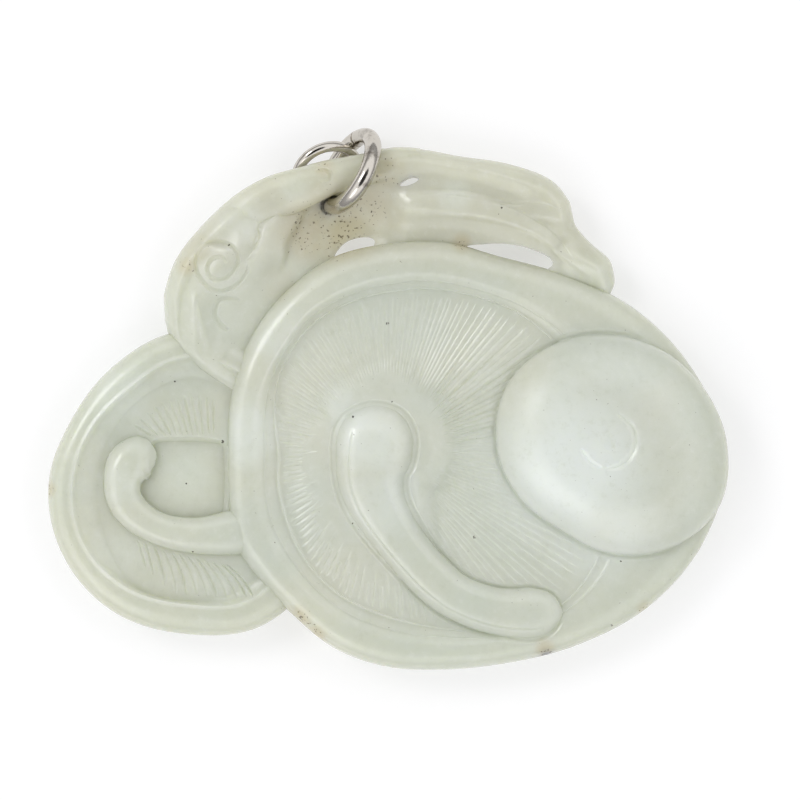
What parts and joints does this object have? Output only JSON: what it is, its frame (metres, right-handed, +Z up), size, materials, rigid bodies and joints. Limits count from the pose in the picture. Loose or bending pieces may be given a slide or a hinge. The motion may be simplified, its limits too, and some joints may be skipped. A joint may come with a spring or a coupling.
{
  "type": "carved jade pendant with two jump rings",
  "caption": "Pierced nephrite pendant of mushroom caps, a smooth young cap and leaves, lying on its back, with silver jump rings round the neck of its crown for a cord.",
  "frame": {"origin": "on the table under the middle of the pendant, lying on its back", "axes": "+X along its length towards the smooth young cap, +Y towards the crown and the rings, +Z up out of the carved side"},
  "size_m": [0.0599, 0.0479, 0.0086],
  "materials": {
    "jade": "waxy hand polish, pale celadon with brown skin in the hollows",
    "silver": "polished silver wire, lightly scratched"
  },
  "bodies": {
    "root": {"jade_carving": "jade", "jump_ring": "silver", "link_ring": "silver"}
  },
  "joints": []
}
